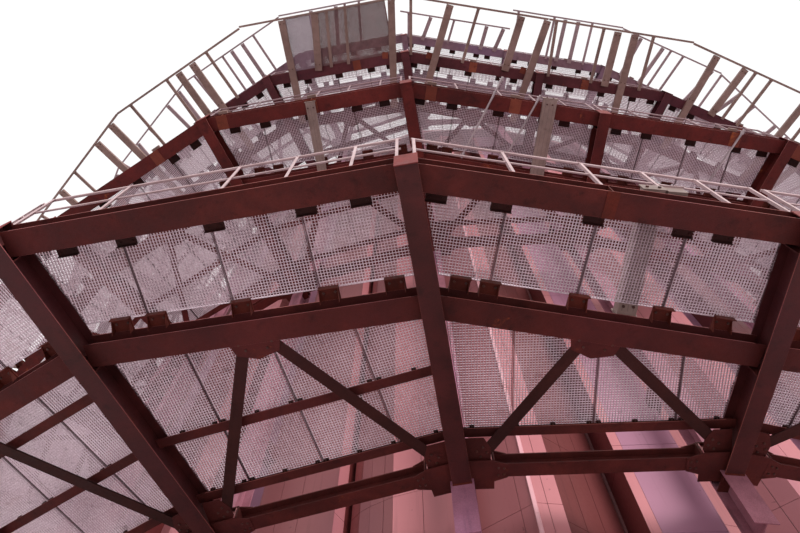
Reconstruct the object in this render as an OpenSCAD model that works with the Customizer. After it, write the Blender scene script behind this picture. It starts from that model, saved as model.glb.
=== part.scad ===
// Faceted round tower with four stacked, cantilevered gallery decks on H-beam frames.
// Millimetres, +Z up. Origin: centre of the foot of the core, on the ground.

/* [Plan] */
// Radius of the gallery node line at the corners, where the inner ring beams lie
node_r = 13170; // [13000:10:13400]
// Width of the outer walkway, from the edge of the second ring to the outer edge
walk_w = 1550; // [1400:10:1650]
// Apothem of the outside face of the core wall
core_a = 11600; // [11300:10:11700]
// How far the wall's folded piers stand out in front of the wall
relief = 800; // [700:10:900]
// Thickness of the core wall
core_t = 250; // [150:10:350]

/* [Levels] */
// Underside of the radial beams of the first gallery
tier1_z = 8400; // [8000:50:9000]
// Underside of the radial beams of the second gallery
tier2_z = 16420; // [16000:20:17000]
// Underside of the radial beams of the third gallery
tier3_z = 23840; // [23500:20:24500]
// Underside of the radial beams of the fourth gallery
tier4_z = 31200; // [30800:20:31800]
// How far the columns reach below the first gallery
stub_l = 820; // [600:10:1200]
// Set-back of the second gallery's outer edge
set2 = 270; // [150:10:350]
// Set-back of the third and fourth galleries' outer edge
set3 = 320; // [200:10:400]

/* [Beams] */
// Depth of a radial beam
rad_h = 400; // [380:5:440]
// Flange width of a radial beam
rad_b = 245; // [220:5:300]
// Depth of the outer and second ring beams
ring_h = 250; // [220:5:260]
// Flange width of the outer and second ring beams
ring_b = 300; // [240:5:320]
// Flange width of the inner ring beam
inn_b = 200; // [150:5:240]
// Depth of the inner ring beam
inn_h = 200; // [150:5:220]
// Side of a gallery column
col_b = 300; // [260:5:320]
// Depth of a deck joist
joist_h = 120; // [100:5:125]
// Width of a deck joist's bottom flange
joist_b = 130; // [100:5:150]
// Flange width of a plan brace
brace_b = 150; // [120:5:160]

/* [Decks and rails] */
// Thickness of the bar grating
deck_t = 32; // [25:1:40]
// Height of the handrail over the deck
rail_h = 1030; // [950:10:1150]
// Side of a handrail post or rail
rail_b = 42; // [36:2:50]
// Reach of the outriggers past the outer edge
fan_out = 1580; // [1200:20:1640]
// Reach of the outriggers in the short bays of the fourth gallery
fan_short = 850; // [600:10:1100]
// Width of a wide outrigger channel
fan_b = 220; // [160:10:240]
// Width of a wide outrigger channel on the fourth gallery
fan_b4 = 150; // [110:10:220]
// Width of a thin outrigger
fan_s = 90; // [60:5:100]

/* [Hidden] */
// Number of flat faces round the tower, one gallery bay to each face
bays = 24;
// Distance from the node line to the outer edge of the second ring, at each radial beam from
// the front one round; the second half of the tower repeats the first
strip = [2500, 1650, 1950, 2350, 2700, 2950, 3050, 3100, 3150, 3150, 3150, 3100];
// Outriggers of a bay: distance along the edge from the bay's middle at the foot, slant towards
// the tip, width class (0 thin, 1 wide) and how far the foot runs in under the deck.
// Three bays in turn, from the front one round.
fans = [
  [[-1980, -260, 0, 60], [-1400, 390, 1, 1650], [-330, 200, 0, 60], [1060, 180, 1, 90], [1640, 420, 1, 1650]],
  [[-1850, -110, 0, 60], [-450, 0, 0, 60], [10, 0, 1, 90], [560, 0, 1, 1650], [1150, 0, 0, 60]],
  [[-1400, 60, 1, 1650], [-530, 240, 1, 90], [-110, 190, 0, 60], [450, 220, 0, 60], [1640, 480, 1, 1650]]];
// Outlines of the folded piers on the wall: distance along the face from its middle, and distance in front
// of the wall as a share of the relief. Three faces in turn, one or two piers to a face.
piers = [
  [[[-1380, 0], [-1380, 0.35], [-737, 0.97], [-370, 0.91], [60, 0.12], [60, 0]],
   [[660, 0], [690, 0.78], [1380, 0.78], [1380, 0]]],
  [[[-1380, 0], [-1380, 0.12], [-840, 0.12], [-240, 0.94], [440, 0.94], [730, 0.22], [1380, 0.22], [1380, 0]]],
  [[[-1380, 0], [-1380, 0.8], [-330, 0.8], [-265, 0.55], [-265, 0]],
   [[-135, 0], [-135, 0.52], [100, 0.68], [562, 0.81], [1380, 0.83], [1380, 0]]]];
// Tie rods under the second gallery: radial station and radius of the outer end, then of the inner end
rods = [[0.47, 16820, 0.24, 15160], [0.66, 16410, 0.48, 15020], [1.74, 16310, 1.67, 14800]];
da = 360 / bays;
half = bays / 2;
flange = 16;
web = 12;
z0 = [tier1_z, tier2_z, tier3_z, tier4_z];
setb = [0, set2, set3, set3];
ring_top = rad_h - flange;
node_a = node_r * cos(da / 2);
bay_half = node_r * sin(da / 2);
wall_r = core_a / cos(da / 2);
roof_z = tier4_z + rad_h;

steel = [0.36, 0.15, 0.13];
grate = [0.74, 0.68, 0.72];
pink = [0.72, 0.5, 0.54];
olive = [0.46, 0.41, 0.33];
pale = [0.82, 0.77, 0.8];

// Distance of the second ring's outer edge from the axis at radial k of tier t
function sec_r(k, t) = node_r + strip[((k % half) + half) % half] - setb[t];
// Distance of the outer edge
function out_r(k, t) = sec_r(k, t) + walk_w;
// Reach of the outriggers in bay k of tier t
function reach(k, t) = (t == 3 && k % half == 0) ? fan_short : fan_out;
// Plan point at radius r on radial k
function pol(r, k) = [r * sin(da * k), -r * cos(da * k)];
function unit(v) = v / norm(v);
function left(v) = [-v[1], v[0]];
// Inward normal distance of a straight run between two corner points, moved in by d
function inset(a, b, d) = let (n = left(unit(b - a))) [a + n * d, b + n * d];
// Point where the line through a and b, moved in by d, crosses the line at offset g from radial k
function cut(a, b, d, k, g) =
  let (p = inset(a, b, d), v = p[1] - p[0], m = [cos(da * k), sin(da * k)],
       s = (g - (p[0] * m)) / (v * m)) p[0] + v * s;

// Straight bar of a section given as points, from plan point a to b, underside at z
module bar(a, b, z, pts) {
  v = b - a;
  translate([a[0], a[1], z]) rotate([0, 0, atan2(v[1], v[0])]) rotate([90, 0, 90]) linear_extrude(norm(v)) polygon(pts);
}
function h_pts(h, w, tf, tw) = [[-w / 2, 0], [w / 2, 0], [w / 2, tf], [tw / 2, tf], [tw / 2, h - tf], [w / 2, h - tf],
  [w / 2, h], [-w / 2, h], [-w / 2, h - tf], [-tw / 2, h - tf], [-tw / 2, tf], [-w / 2, tf]];
// Tee with its flange at the bottom
function tee_pts(h, w, tf, tw) = [[-w / 2, 0], [w / 2, 0], [w / 2, tf], [tw / 2, tf], [tw / 2, h], [-tw / 2, h],
  [-tw / 2, tf], [-w / 2, tf]];
// Channel laid with its web at the bottom
function chan_pts(w, h, t) = [[-w / 2, 0], [w / 2, 0], [w / 2, h], [w / 2 - t, h], [w / 2 - t, t], [-w / 2 + t, t],
  [-w / 2 + t, h], [-w / 2, h]];
function box_pts(w, h) = [[-w / 2, 0], [w / 2, 0], [w / 2, h], [-w / 2, h]];
module plate(pts, z, t) { translate([0, 0, z]) linear_extrude(t) polygon(pts); }

// Beams that run out from the columns to the outer edge
module radials(t) {
  for (k = [0 : bays - 1])
    bar(pol(node_r - 120, k), pol(out_r(k, t) + 5, k), z0[t], h_pts(rad_h, rad_b, flange, web));
}
// One ring beam to each bay, between the webs of the radial beams
module ring(t, outer) {
  for (k = [0 : bays - 1]) {
    a = outer ? pol(out_r(k, t), k) : pol(sec_r(k, t), k);
    b = outer ? pol(out_r(k + 1, t), k + 1) : pol(sec_r(k + 1, t), k + 1);
    n = unit(b - a);
    p = cut(a, b, ring_b / 2, k, web / 2);
    q = cut(a, b, ring_b / 2, k + 1, -web / 2);
    bar(p + n * 64, q - n * 64, z0[t] + ring_top - ring_h, h_pts(ring_h, ring_b, 14, 10));
  }
}
// Inner ring beam between the columns
module inner_ring(t) {
  for (k = [0 : bays - 1]) rotate([0, 0, da * (k + 0.5)]) {
    e = bay_half - 190;
    bar([-e, -node_a], [e, -node_a], z0[t] + 90, h_pts(inn_h, inn_b, 14, 10));
  }
}
// Rows of joists parallel to the inner ring, as many as the bay's width takes
module joists(t) {
  for (k = [0 : bays - 1], i = [0 : 2]) {
    na = node_a + 460 + 970 * i;
    room = min(sec_r(k, t), sec_r(k + 1, t)) * cos(da / 2) - ring_b;
    if (na < room - 330) {
      e = na * tan(da / 2) - web / 2 - 24;
      rotate([0, 0, da * (k + 0.5)]) bar([-e, -na], [e, -na], z0[t] + ring_top - joist_h, tee_pts(joist_h, joist_b, 10, 8));
    }
  }
}
// V of plan bracing in each bay, from the middle of the second ring to the two inner nodes
module braces(t) {
  for (k = [0 : bays - 1]) {
    a = pol(sec_r(k, t), k);
    b = pol(sec_r(k + 1, t), k + 1);
    in = inset(a, b, ring_b / 2 + 30);
    m = (in[0] + in[1]) / 2;
    u = unit(b - a);
    for (s = [0, 1]) {
      g = pol(node_r, k + s) + (s == 0 ? 1 : -1) * u * 300 - unit(pol(1, k + 0.5)) * -260;
      p = m + (s == 0 ? -1 : 1) * u * 130 - unit(pol(1, k + 0.5)) * 70;
      bar(p, g, z0[t] + 158, tee_pts(96, brace_b, 10, 8));
    }
  }
}
// Grating panels between the radial beams' top flanges: the outer walkway's, and the inner strip's
module deck(t) {
  g = rad_b / 2 + 12;
  for (k = [0 : bays - 1]) {
    a = pol(out_r(k, t), k);
    b = pol(out_r(k + 1, t), k + 1);
    c = pol(sec_r(k, t), k);
    d = pol(sec_r(k + 1, t), k + 1);
    e = pol(node_r, k);
    f = pol(node_r, k + 1);
    plate([cut(a, b, 60, k, g), cut(a, b, 60, k + 1, -g), cut(c, d, -150, k + 1, -g), cut(c, d, -150, k, g)],
      z0[t] + ring_top, deck_t);
    plate([cut(c, d, 130, k, g), cut(c, d, 130, k + 1, -g), cut(e, f, -430, k + 1, -g), cut(e, f, -430, k, g)],
      z0[t] + ring_top, deck_t);
  }
}
// Post-and-rail handrail along the outer edge, a frame to each bay
module handrail(t) {
  zb = z0[t] + ring_top;
  top = deck_t + rail_h;
  n = t < 2 ? 3 : 2;
  for (k = [0 : bays - 1]) {
    a = pol(out_r(k, t), k);
    b = pol(out_r(k + 1, t), k + 1);
    p = cut(a, b, 32, k, 60);
    v = cut(a, b, 32, k + 1, -60) - p;
    l = norm(v);
    w = (l - rail_b) / n;
    translate([p[0], p[1], zb]) rotate([0, 0, atan2(v[1], v[0])]) rotate([90, 0, 0])
      translate([0, 0, -rail_b / 2]) linear_extrude(rail_b) difference() {
        square([l, top]);
        for (i = [0 : n - 1]) {
          translate([i * w + rail_b, -1]) square([w - rail_b, top - rail_h / 2 - rail_b + 1]);
          translate([i * w + rail_b, top - rail_h / 2]) square([w - rail_b, rail_h / 2 - rail_b]);
        }
      }
  }
}
// Columns at the nodes, web square to the wall
module columns(za, zb) {
  for (k = [0 : bays - 1]) rotate([0, 0, da * k]) translate([0, -(node_r - 120 - col_b / 2), za]) rotate([0, 0, 90])
    linear_extrude(zb - za) polygon([[-150, -150], [-134, -150], [-134, -7], [134, -7], [134, -150], [150, -150],
      [150, 150], [134, 150], [134, 7], [-134, 7], [-134, 150], [-150, 150]] * (col_b / 300));
}
// Arms from the core wall to the columns: above the lower three galleries, and below the fourth
module brackets() {
  for (k = [0 : bays - 1], t = [0 : 3])
    bar(pol(wall_r + 22, k), pol(node_r - 120 - col_b, k), z0[t] + (t == 3 ? -1500 : 2400), box_pts(200, 250));
}
// One flat wall panel to each face, with open joints at the corners
module core_wall(za, zb) {
  e = core_a * tan(da / 2) - 9;
  f = (core_a - core_t) * tan(da / 2) - 9;
  for (k = [0 : bays - 1]) rotate([0, 0, da * (k + 0.5)])
    plate([[-e, -core_a], [e, -core_a], [f, -core_a + core_t], [-f, -core_a + core_t]], za, zb - za);
}
// Folded piers that stand in front of the wall, full height
module wall_relief() {
  for (k = [0 : bays - 1], f = piers[k % 3]) rotate([0, 0, da * (k + 0.5)])
    plate([for (q = f) [q[0], -core_a - relief * q[1]]], 0, roof_z);
}
module disc(r, z, t) { translate([0, 0, z]) rotate([0, 0, -90]) cylinder(r = r, h = t, $fn = bays); }
module kerb() {
  for (k = [0 : bays - 1]) rotate([0, 0, da * (k + 0.5)]) {
    c = core_a + relief + 140;
    e = c * tan(da / 2) - 4;
    f = (c - 200) * tan(da / 2) - 4;
    plate([[-e, -c], [e, -c], [f, -c + 200], [-f, -c + 200]], roof_z + 250, 250);
  }
}
// Outriggers that run out level under the outer ring beams
module outriggers(t) {
  for (k = [0 : bays - 1], f = fans[k % 3]) {
    a = pol(out_r(k, t), k);
    b = pol(out_r(k + 1, t), k + 1);
    u = unit(b - a);
    n = left(u);
    m = (a + b) / 2;
    l = reach(k, t);
    foot = m + u * f[0] + n * min(f[3], t == 3 ? 90 : 1650);
    tip = m + u * (f[0] + f[1] * l / fan_out) - n * l;
    if (f[2] == 1) bar(foot, tip, z0[t] + 48, chan_pts(t == 3 ? fan_b4 : fan_b, 86, 10));
    else bar(foot, tip, z0[t] + 74, box_pts(fan_s, 60));
  }
}
// Edge rail on the outriggers' tips
module fan_rail(t) {
  for (k = [0 : bays - 1]) {
    l = reach(k, t);
    a = pol(out_r(k, t), k);
    b = pol(out_r(k + 1, t), k + 1);
    n = left(unit(b - a));
    p = cut(a, b, -l - 44, k, 12);
    q = cut(a, b, -l - 44, k + 1, -12);
    bar(p, q, z0[t] + 62, box_pts(60, 60));
  }
}
// Loose needle beams: one across the first gallery's walkway, two under the second gallery's,
// and the same again on the opposite side
module needles() {
  for (h = [0, half]) rotate([0, 0, da * (h + 0.5)]) {
    bar([300, -15020], [490, -16560], tier1_z + ring_top + deck_t, chan_pts(230, 150, 10));
    bar([640, -14520], [900, -16330], tier2_z + 36, chan_pts(300, 98, 10));
    rotate([0, 0, -da]) bar([-220, -15180], [110, -17040], tier2_z + 36, chan_pts(200, 98, 10));
  }
}
module ties() {
  for (h = [0, half], r = rods) {
    a = pol(r[1], r[0] + h);
    b = pol(r[3], r[2] + h);
    v = b - a;
    translate([a[0], a[1], tier2_z + 110]) rotate([0, 0, atan2(v[1], v[0])]) rotate([0, 90, 0])
      cylinder(d = 48, h = norm(v), $fn = 8);
  }
}

module core_wall_1() { color(pink) core_wall(0, tier1_z); }
module core_wall_2() { color(pink) core_wall(tier1_z + 15, tier2_z); }
module core_wall_3() { color(pink) core_wall(tier2_z + 15, tier3_z); }
module core_wall_4() { color(pink) core_wall(tier3_z + 15, roof_z); }
module wall_piers() { color(pink) wall_relief(); }
module roof_slab() { color(pink) disc((core_a + relief + 120) / cos(da / 2), roof_z, 250); }
module roof_kerb() { color(pale) kerb(); }
module columns_lower() { color(steel) columns(tier1_z - stub_l, tier2_z); }
module columns_middle() { color(steel) columns(tier2_z + 6, tier3_z); }
module columns_upper() { color(steel) columns(tier3_z + 6, roof_z); }
module wall_brackets() { color(steel) brackets(); }
module t1_radial_beams() { color(steel) radials(0); }
module t1_ring_beams() { color(steel) { ring(0, true); ring(0, false); } }
module t1_inner_ring() { color(steel) inner_ring(0); }
module t1_joists() { color(steel) joists(0); }
module t1_plan_braces() { color(steel) braces(0); }
module t1_deck() { color(grate) deck(0); }
module t1_handrail() { color(pale) handrail(0); }
module t2_radial_beams() { color(steel) radials(1); }
module t2_ring_beams() { color(steel) { ring(1, true); ring(1, false); } }
module t2_inner_ring() { color(steel) inner_ring(1); }
module t2_joists() { color(steel) joists(1); }
module t2_plan_braces() { color(steel) braces(1); }
module t2_deck() { color(grate) deck(1); }
module t2_handrail() { color(pale) handrail(1); }
module t3_radial_beams() { color(steel) radials(2); }
module t3_ring_beams() { color(steel) { ring(2, true); ring(2, false); } }
module t3_inner_ring() { color(steel) inner_ring(2); }
module t3_joists() { color(steel) joists(2); }
module t3_plan_braces() { color(steel) braces(2); }
module t3_deck() { color(grate) deck(2); }
module t3_handrail() { color(pale) handrail(2); }
module t4_radial_beams() { color(steel) radials(3); }
module t4_ring_beams() { color(steel) { ring(3, true); ring(3, false); } }
module t4_inner_ring() { color(steel) inner_ring(3); }
module t4_joists() { color(steel) joists(3); }
module t4_plan_braces() { color(steel) braces(3); }
module t4_deck() { color(grate) deck(3); }
module t4_handrail() { color(pale) handrail(3); }
module t3_outriggers() { color(olive) outriggers(2); }
module t3_fan_rail() { color(olive) fan_rail(2); }
module t4_outriggers() { color(olive) outriggers(3); }
module t4_fan_rail() { color(olive) fan_rail(3); }
module needle_beams() { color(olive) needles(); }
module tie_rods() { color(pale) ties(); }

core_wall_1();
core_wall_2();
core_wall_3();
core_wall_4();
wall_piers();
roof_slab();
roof_kerb();
columns_lower();
columns_middle();
columns_upper();
wall_brackets();
t1_radial_beams();
t1_ring_beams();
t1_inner_ring();
t1_joists();
t1_plan_braces();
t1_deck();
t1_handrail();
t2_radial_beams();
t2_ring_beams();
t2_inner_ring();
t2_joists();
t2_plan_braces();
t2_deck();
t2_handrail();
t3_radial_beams();
t3_ring_beams();
t3_inner_ring();
t3_joists();
t3_plan_braces();
t3_deck();
t3_handrail();
t4_radial_beams();
t4_ring_beams();
t4_inner_ring();
t4_joists();
t4_plan_braces();
t4_deck();
t4_handrail();
t3_outriggers();
t3_fan_rail();
t4_outriggers();
t4_fan_rail();
needle_beams();
tie_rods();
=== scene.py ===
import math
import bpy
import numpy as np
from mathutils import Matrix, Vector


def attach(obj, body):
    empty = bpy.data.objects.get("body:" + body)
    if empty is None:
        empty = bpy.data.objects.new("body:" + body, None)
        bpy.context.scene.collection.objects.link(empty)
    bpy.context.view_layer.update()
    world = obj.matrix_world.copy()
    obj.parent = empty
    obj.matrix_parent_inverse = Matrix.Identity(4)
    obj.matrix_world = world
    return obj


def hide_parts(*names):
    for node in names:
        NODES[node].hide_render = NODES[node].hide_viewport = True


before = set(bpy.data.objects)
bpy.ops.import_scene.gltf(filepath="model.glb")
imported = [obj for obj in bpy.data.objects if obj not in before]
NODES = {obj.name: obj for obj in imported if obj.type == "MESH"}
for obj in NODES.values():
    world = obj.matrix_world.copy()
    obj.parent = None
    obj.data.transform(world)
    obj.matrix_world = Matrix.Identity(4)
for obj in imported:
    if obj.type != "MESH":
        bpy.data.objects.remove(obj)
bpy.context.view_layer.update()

rng = np.random.default_rng(11)

# ---------------------------------------------------------------- plan of the tower, in metres
BAYS, HALF = 24, 12
RELIEF = 0.8
DA = math.radians(15)
NODE_R, WALK, CORE_A, CORE_T = 13.17, 1.55, 11.6, 0.25
Z0 = [8.4, 16.42, 23.84, 31.2]
SETB = [0.0, 0.27, 0.32, 0.32]
STRIP = [2.5, 1.65, 1.95, 2.35, 2.7, 2.95, 3.05, 3.1, 3.15, 3.15, 3.15, 3.1]
RAD_H, RAD_B, FL, WEB = 0.4, 0.245, 0.016, 0.012
RING_TOP = RAD_H - FL
RING_H, RING_B = 0.25, 0.3
DECK_T, RAIL_H, RAIL_B = 0.032, 1.03, 0.042
COL_B = 0.3
FAN_OUT, FAN_SHORT, FAN_B, FAN_B4, FAN_S = 1.58, 0.85, 0.22, 0.15, 0.09
ROOF_Z = Z0[3] + RAD_H
NODE_A = NODE_R * math.cos(DA / 2)
BAY_HALF = NODE_R * math.sin(DA / 2)


def sec_r(k, t): return NODE_R + STRIP[k % HALF] - SETB[t]
def out_r(k, t): return sec_r(k, t) + WALK
def pol(r, k): return np.array([r * math.sin(DA * k), -r * math.cos(DA * k)])
def unit(v): return v / np.linalg.norm(v)
def left(v): return np.array([-v[1], v[0]])
def v3(p, z): return np.array([p[0], p[1], z], float)


def cut(a, b, d, k, g):
    """Where the line a-b, moved in by d, crosses the line at offset g beside radial k."""
    n = left(unit(b - a))
    p, q = a + n * d, b + n * d
    v, m = q - p, np.array([math.cos(DA * k), math.sin(DA * k)])
    return p + v * ((g - p @ m) / (v @ m))


# ---------------------------------------------------------------- mesh building
UP = np.array([0.0, 0.0, 1.0])
BOX_F = np.array([[0, 3, 2, 1], [4, 5, 6, 7], [0, 1, 5, 4], [1, 2, 6, 5], [2, 3, 7, 6], [3, 0, 4, 7]])
BOX_S = np.array([[-1, -1, -1], [1, -1, -1], [1, 1, -1], [-1, 1, -1], [-1, -1, 1], [1, -1, 1], [1, 1, 1], [-1, 1, 1]], float)


class Mesh:
    """Gathers many closed shells into one mesh."""
    def __init__(self):
        self.v, self.loops, self.counts, self.mats, self.n = [], [], [], [], 0

    def faces(self, verts, flat, counts, mat=0):
        self.v.append(np.asarray(verts, float).reshape(-1, 3))
        self.loops.append(np.asarray(flat, int).ravel() + self.n)
        self.counts.append(np.asarray(counts, int))
        self.mats.append(np.full(len(counts), mat))
        self.n += len(self.v[-1])

    def boxes(self, c, x, y, z, mat=0):
        """Boxes with centres c and half-edge vectors x, y, z (right-handed)."""
        c, x, y, z = (np.atleast_2d(np.asarray(a, float)) for a in (c, x, y, z))
        m = max(len(a) for a in (c, x, y, z))
        if not m:
            return
        c, x, y, z = (np.broadcast_to(a, (m, 3)) for a in (c, x, y, z))
        v = c[:, None] + BOX_S[None, :, 0, None] * x[:, None] + BOX_S[None, :, 1, None] * y[:, None] + BOX_S[None, :, 2, None] * z[:, None]
        f = BOX_F[None] + (np.arange(m) * 8)[:, None, None]
        self.faces(v, f, np.full(m * 6, 4), mat)

    def box(self, c, x, y, z, mat=0):
        self.boxes([c], [x], [y], [z], mat)

    def prism(self, pts, o, ex, ey, length, mat=0):
        """Extrudes the counter-clockwise profile pts in the plane of ex, ey along their cross product."""
        pts = np.asarray(pts, float)
        o, ex, ey = (np.asarray(a, float) for a in (o, ex, ey))
        ez = np.cross(ex, ey) * length
        k = len(pts)
        a = o + pts[:, :1] * ex + pts[:, 1:] * ey
        i = np.arange(k)
        j = (i + 1) % k
        sides = np.stack([i, j, j + k, i + k], 1)
        self.faces(np.vstack([a, a + ez]), np.concatenate([sides.ravel(), i[::-1], i + k]), [4] * k + [k, k], mat)

    def bolt(self, p, axis, r=0.016, h=0.016, mat=0):
        """Hexagonal head standing on point p along axis."""
        a = unit(np.asarray(axis, float))
        ex = unit(np.cross(a, UP if abs(a[2]) < 0.9 else np.array([1.0, 0, 0])))
        ey = np.cross(a, ex)
        six = [[math.cos(math.radians(60 * i + 15)), math.sin(math.radians(60 * i + 15))] for i in range(6)]
        self.prism(np.array(six) * r * 1.15, p, ex, ey, h + 0.003, mat)

    def make(self, name, mats, slot, replaces=(), smooth=False, bevel=0.0):
        v = np.vstack(self.v)
        loops = np.concatenate(self.loops)
        counts = np.concatenate(self.counts)
        me = bpy.data.meshes.new(name)
        me.vertices.add(len(v))
        me.vertices.foreach_set("co", v.astype(np.float32).ravel())
        me.loops.add(len(loops))
        me.loops.foreach_set("vertex_index", loops.astype(np.int32))
        me.polygons.add(len(counts))
        me.polygons.foreach_set("loop_start", np.concatenate([[0], np.cumsum(counts)[:-1]]).astype(np.int32))
        me.polygons.foreach_set("loop_total", counts.astype(np.int32))
        me.polygons.foreach_set("material_index", np.concatenate(self.mats).astype(np.int32))
        me.polygons.foreach_set("use_smooth", np.full(len(counts), smooth))
        me.update(calc_edges=True)
        me.validate()
        for m in mats:
            me.materials.append(m)
        o = bpy.data.objects.new(name, me)
        bpy.context.scene.collection.objects.link(o)
        if bevel:
            b = o.modifiers.new("edge", "BEVEL")
            b.width, b.segments, b.limit_method, b.angle_limit = bevel, 1, "ANGLE", math.radians(50)
        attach(o, "root")
        if replaces:
            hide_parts(*replaces)
        return o


# ---------------------------------------------------------------- materials
def lin(r, g, b):
    return tuple(((c / 255 / 12.92) if c / 255 <= 0.04045 else ((c / 255 + 0.055) / 1.055) ** 2.4) for c in (r, g, b)) + (1.0,)


class Graph:
    def __init__(self, name):
        self.m = bpy.data.materials.new(name)
        self.m.use_nodes = True
        self.t = self.m.node_tree
        self.bsdf = self.t.nodes["Principled BSDF"]
        self.pos = self.node("ShaderNodeTexCoord").outputs["Object"]

    def node(self, kind, **settings):
        n = self.t.nodes.new(kind)
        for k, v in settings.items():
            setattr(n, k, v)
        return n

    def put(self, socket, value):
        if isinstance(value, bpy.types.NodeSocket):
            self.t.links.new(value, socket)
        else:
            socket.default_value = value

    def scaled(self, sx, sy, sz):
        n = self.node("ShaderNodeMapping")
        self.put(n.inputs["Vector"], self.pos)
        n.inputs["Scale"].default_value = (sx, sy, sz)
        return n.outputs["Vector"]

    def noise(self, scale, detail=4.0, rough=0.55, vector=None, distortion=0.0):
        n = self.node("ShaderNodeTexNoise")
        self.put(n.inputs["Vector"], vector if vector is not None else self.pos)
        n.inputs["Scale"].default_value = scale
        n.inputs["Detail"].default_value = detail
        n.inputs["Roughness"].default_value = rough
        n.inputs["Distortion"].default_value = distortion
        return n.outputs["Fac"]

    def ramp(self, fac, stops):
        n = self.node("ShaderNodeValToRGB")
        self.put(n.inputs["Fac"], fac)
        e = n.color_ramp.elements
        while len(e) < len(stops):
            e.new(0.5)
        for s, (p, c) in zip(e, stops):
            s.position = p
            s.color = c if isinstance(c, tuple) else (c, c, c, 1.0)
        return n.outputs["Color"]

    def mix(self, fac, a, b, blend="MIX"):
        n = self.node("ShaderNodeMix", data_type="RGBA", blend_type=blend)
        self.put(n.inputs[0], fac)
        self.put(n.inputs[6], a)
        self.put(n.inputs[7], b)
        return n.outputs[2]

    def math(self, op, a, b=0.0):
        n = self.node("ShaderNodeMath", operation=op)
        self.put(n.inputs[0], a)
        self.put(n.inputs[1], b)
        return n.outputs[0]

    def span(self, value, lo, hi, a=0.0, b=1.0):
        n = self.node("ShaderNodeMapRange")
        self.put(n.inputs["Value"], value)
        n.inputs["From Min"].default_value, n.inputs["From Max"].default_value = lo, hi
        n.inputs["To Min"].default_value, n.inputs["To Max"].default_value = a, b
        return n.outputs["Result"]

    def height(self):
        n = self.node("ShaderNodeSeparateXYZ")
        self.put(n.inputs[0], self.pos)
        return n.outputs["Z"]

    def bump(self, height, strength, distance, normal=None):
        n = self.node("ShaderNodeBump")
        self.put(n.inputs["Height"], height)
        n.inputs["Strength"].default_value = strength
        n.inputs["Distance"].default_value = distance
        if normal is not None:
            self.put(n.inputs["Normal"], normal)
        return n.outputs["Normal"]

    def finish(self, colour, rough, metallic=0.0, normal=None, **more):
        self.put(self.bsdf.inputs["Base Color"], colour)
        self.put(self.bsdf.inputs["Roughness"], rough)
        self.bsdf.inputs["Metallic"].default_value = metallic
        if normal is not None:
            self.put(self.bsdf.inputs["Normal"], normal)
        for k, v in more.items():
            self.bsdf.inputs[k].default_value = v
        return self.m


def oxide(name, dark, main, light, rust=0.66, rust_a=(150, 66, 30), rust_b=(196, 104, 52), gloss=0.24, rough_span=(0.52, 0.8), sheen_blue=1.4):
    g = Graph(name)
    wide = g.noise(0.55, 3.0, 0.6)
    mid = g.noise(3.2, 5.0, 0.62, distortion=0.3)
    c = g.ramp(g.mix(0.45, wide, mid), [(0.30, lin(*dark)), (0.52, lin(*main)), (0.74, lin(*light))])
    drip = g.noise(2.0, 4.0, 0.6, g.scaled(3.0, 3.0, 0.35))
    c = g.mix(g.span(drip, 0.56, 0.74, 0.0, 0.55), c, lin(*[x * 0.55 for x in dark]))
    # lighter, bluer patches: painted sheen, standing in for the sky's reflection on the paint
    c = g.mix(g.span(g.noise(0.42, 3.0, 0.5), 0.5, 0.68, 0.0, 0.4), c, lin(main[0] * 1.08, main[1] * 1.15, main[2] * sheen_blue))
    patch = g.noise(1.7, 6.0, 0.68, distortion=0.6)
    speck = g.noise(22.0, 5.0, 0.7)
    rusty = g.math("MULTIPLY", g.span(patch, rust, rust + 0.07), g.span(speck, 0.38, 0.55))
    c = g.mix(rusty, c, g.mix(speck, lin(*rust_a), lin(*rust_b)))
    fine = g.span(g.noise(75.0, 3.0, 0.6), 0.35, 0.68, 0.86, 1.12)
    c = g.mix(1.0, c, fine, "MULTIPLY")
    rough = g.span(g.mix(0.5, mid, speck), 0.35, 0.65, *rough_span)
    h = g.mix(0.35, g.noise(140.0, 3.0, 0.6), g.mix(0.5, speck, rusty))
    return g.finish(c, rough, 0.0, g.bump(h, 0.35, 0.004), **{"Specular IOR Level": gloss})


M_OXIDE = oxide("oxide_paint", (48, 18, 17), (80, 31, 28), (108, 46, 40), 0.68, (112, 48, 26), (146, 76, 42))
M_OXIDE_UP = oxide("oxide_paint_upper", (58, 17, 16), (92, 30, 27), (120, 46, 40), 0.64, (124, 56, 30), (158, 84, 48))
M_OXIDE_MID = oxide("oxide_paint_third", (60, 24, 29), (84, 37, 43), (108, 56, 62), 0.66, (116, 54, 36), (140, 74, 50))
M_BRACE = oxide("brace_paint", (36, 16, 14), (57, 25, 22), (78, 39, 35), 0.72, (84, 38, 26), (104, 54, 36))
M_OXIDE_TOP = oxide("oxide_paint_top", (102, 74, 82), (128, 98, 108), (150, 122, 134), 0.7, (126, 78, 70), (146, 100, 88))
M_RADIAL = oxide("radial_paint", (44, 15, 15), (71, 27, 27), (98, 41, 40), 0.68, (112, 48, 26), (146, 76, 42), 0.32, (0.44, 0.66), 1.45)
M_SEAT = oxide("seat_paint", (58, 19, 14), (92, 34, 24), (120, 50, 36), 0.66, (124, 56, 30), (150, 80, 46))
M_RUST = oxide("rusted_plate", (86, 36, 26), (118, 56, 42), (146, 78, 58), 0.57, (132, 62, 32), (168, 92, 50))
# darker copy of the oxide paint: painted shade for the clips under the ring and deck edges
M_SHADED_CLIP = oxide("shaded_clip", (34, 12, 10), (54, 21, 18), (74, 34, 29), 0.72, (84, 38, 26), (104, 54, 36))
# lighter copy of the oxide paint: painted highlight for the strips along the flange edges
M_LIT = oxide("flange_edge_highlight", (112, 58, 54), (142, 80, 74), (168, 104, 98), 0.7, (140, 70, 44), (168, 98, 66))


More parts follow.
